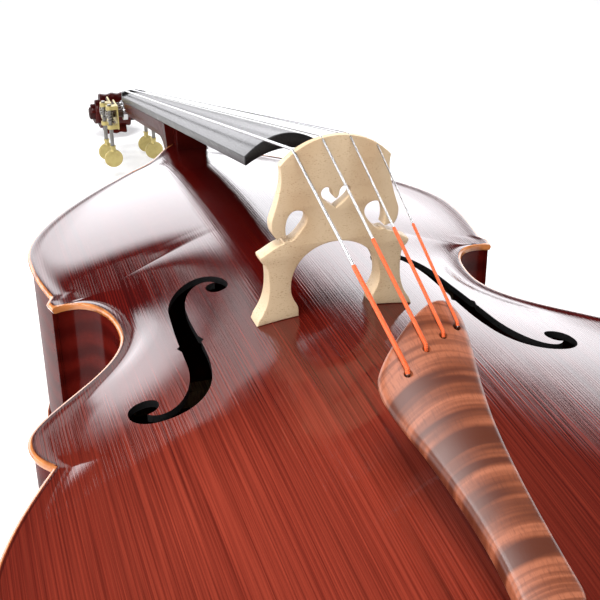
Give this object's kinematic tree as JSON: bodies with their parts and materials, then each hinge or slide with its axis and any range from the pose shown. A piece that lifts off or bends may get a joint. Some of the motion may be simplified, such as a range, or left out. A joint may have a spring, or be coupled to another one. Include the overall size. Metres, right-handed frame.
{
  "type": "double bass",
  "caption": "Full-size double bass with arched front, flat back, worm-geared tuning machines and a sliding endpin, lying on its back.",
  "frame": {"origin": "on the resting face of the flat back, straight under the bridge, on the centre line", "axes": "+Y along the strings from the bridge towards the scroll, +Z out of the belly, +X towards the highest string's side"},
  "size_m": [0.676, 1.9611, 0.4162],
  "materials": {
    "belly_varnish": "gloss",
    "body_varnish": "gloss",
    "bare_spruce": "matte",
    "neck_varnish": "satin",
    "ebony": "satin",
    "roller_wood": "satin",
    "bridge_maple": "matte",
    "flamed_maple": "satin",
    "wire_steel": "satin",
    "string_steel": "satin",
    "orange_silk": "matte",
    "rod_steel": "polished",
    "tip_rubber": "matte",
    "pale_brass": "satin",
    "dark_screws": "satin",
    "worm_steel": "satin"
  },
  "bodies": {
    "instrument": {"top_plate": "belly_varnish", "back_plate": "body_varnish", "rib_upper_bass": "body_varnish", "rib_upper_treble": "body_varnish", "rib_waist_bass": "body_varnish", "rib_waist_treble": "body_varnish", "rib_lower_bass": "body_varnish", "rib_lower_treble": "body_varnish", "linings_front": "bare_spruce", "linings_back": "bare_spruce", "neck_block": "bare_spruce", "end_block": "bare_spruce", "corner_blocks": "bare_spruce", "back_braces": "bare_spruce", "bass_bar": "bare_spruce", "sound_post": "bare_spruce", "neck": "neck_varnish", "pegbox_scroll": "neck_varnish", "fingerboard": "ebony", "nut": "ebony", "bridge": "bridge_maple", "tailpiece": "flamed_maple", "tail_wire": "wire_steel", "saddle": "ebony", "string_e": "string_steel", "string_a": "string_steel", "string_d": "string_steel", "string_g": "string_steel", "silk_wraps": "orange_silk", "endpin_collar": "ebony", "machine_plate_bass": "pale_brass", "machine_plate_treble": "pale_brass", "plate_screws": "dark_screws"},
    "endpin": {"endpin_rod": "rod_steel", "endpin_tip": "tip_rubber"},
    "thumbscrew": {"endpin_thumbscrew": "rod_steel"},
    "roller_assembly_e": {"roller_e": "roller_wood", "gear_e": "pale_brass", "gear_screw_e": "dark_screws", "winding_e": "string_steel"},
    "worm_assembly_e": {"worm_e": "worm_steel", "key_e": "pale_brass"},
    "roller_assembly_a": {"roller_a": "roller_wood", "gear_a": "pale_brass", "gear_screw_a": "dark_screws", "winding_a": "string_steel"},
    "worm_assembly_a": {"worm_a": "worm_steel", "key_a": "pale_brass"},
    "roller_assembly_d": {"roller_d": "roller_wood", "gear_d": "pale_brass", "gear_screw_d": "dark_screws", "winding_d": "string_steel"},
    "worm_assembly_d": {"worm_d": "worm_steel", "key_d": "pale_brass"},
    "roller_assembly_g": {"roller_g": "roller_wood", "gear_g": "pale_brass", "gear_screw_g": "dark_screws", "winding_g": "string_steel"},
    "worm_assembly_g": {"worm_g": "worm_steel", "key_g": "pale_brass"}
  },
  "joints": [
    {"name": "endpin_slide", "type": "slide", "parent": "instrument", "child": "endpin", "axis": [0, -1, 0], "range_m": [0, 0.25]},
    {"name": "endpin_thumbscrew_turn", "type": "hinge", "parent": "instrument", "child": "thumbscrew", "pos_m": [0.0054, -0.523, 0.1055], "axis": [1, 0, 0], "continuous": true},
    {"name": "roller_spin_e", "type": "hinge", "parent": "instrument", "child": "roller_assembly_e", "pos_m": [0, 1.108, 0.118], "axis": [1, 0, 0], "continuous": true},
    {"name": "worm_spin_e", "type": "hinge", "parent": "instrument", "child": "worm_assembly_e", "pos_m": [-0.04228, 1.0868, 0.118], "axis": [0, 0, 1], "continuous": true},
    {"name": "roller_spin_a", "type": "hinge", "parent": "instrument", "child": "roller_assembly_a", "pos_m": [0, 1.188, 0.102], "axis": [1, 0, 0], "continuous": true},
    {"name": "worm_spin_a", "type": "hinge", "parent": "instrument", "child": "worm_assembly_a", "pos_m": [-0.04228, 1.1668, 0.102], "axis": [0, 0, 1], "continuous": true},
    {"name": "roller_spin_d", "type": "hinge", "parent": "instrument", "child": "roller_assembly_d", "pos_m": [0, 1.228, 0.094], "axis": [1, 0, 0], "continuous": true},
    {"name": "worm_spin_d", "type": "hinge", "parent": "instrument", "child": "worm_assembly_d", "pos_m": [0.04228, 1.2068, 0.094], "axis": [0, 0, 1], "continuous": true},
    {"name": "roller_spin_g", "type": "hinge", "parent": "instrument", "child": "roller_assembly_g", "pos_m": [0, 1.148, 0.11], "axis": [1, 0, 0], "continuous": true},
    {"name": "worm_spin_g", "type": "hinge", "parent": "instrument", "child": "worm_assembly_g", "pos_m": [0.04228, 1.1268, 0.11], "axis": [0, 0, 1], "continuous": true}
  ],
  "couplings": [
    {"joint": "roller_spin_e", "follows": "worm_spin_e", "ratio": 0.05},
    {"joint": "roller_spin_a", "follows": "worm_spin_a", "ratio": 0.05},
    {"joint": "roller_spin_d", "follows": "worm_spin_d", "ratio": 0.05},
    {"joint": "roller_spin_g", "follows": "worm_spin_g", "ratio": 0.05}
  ]
}
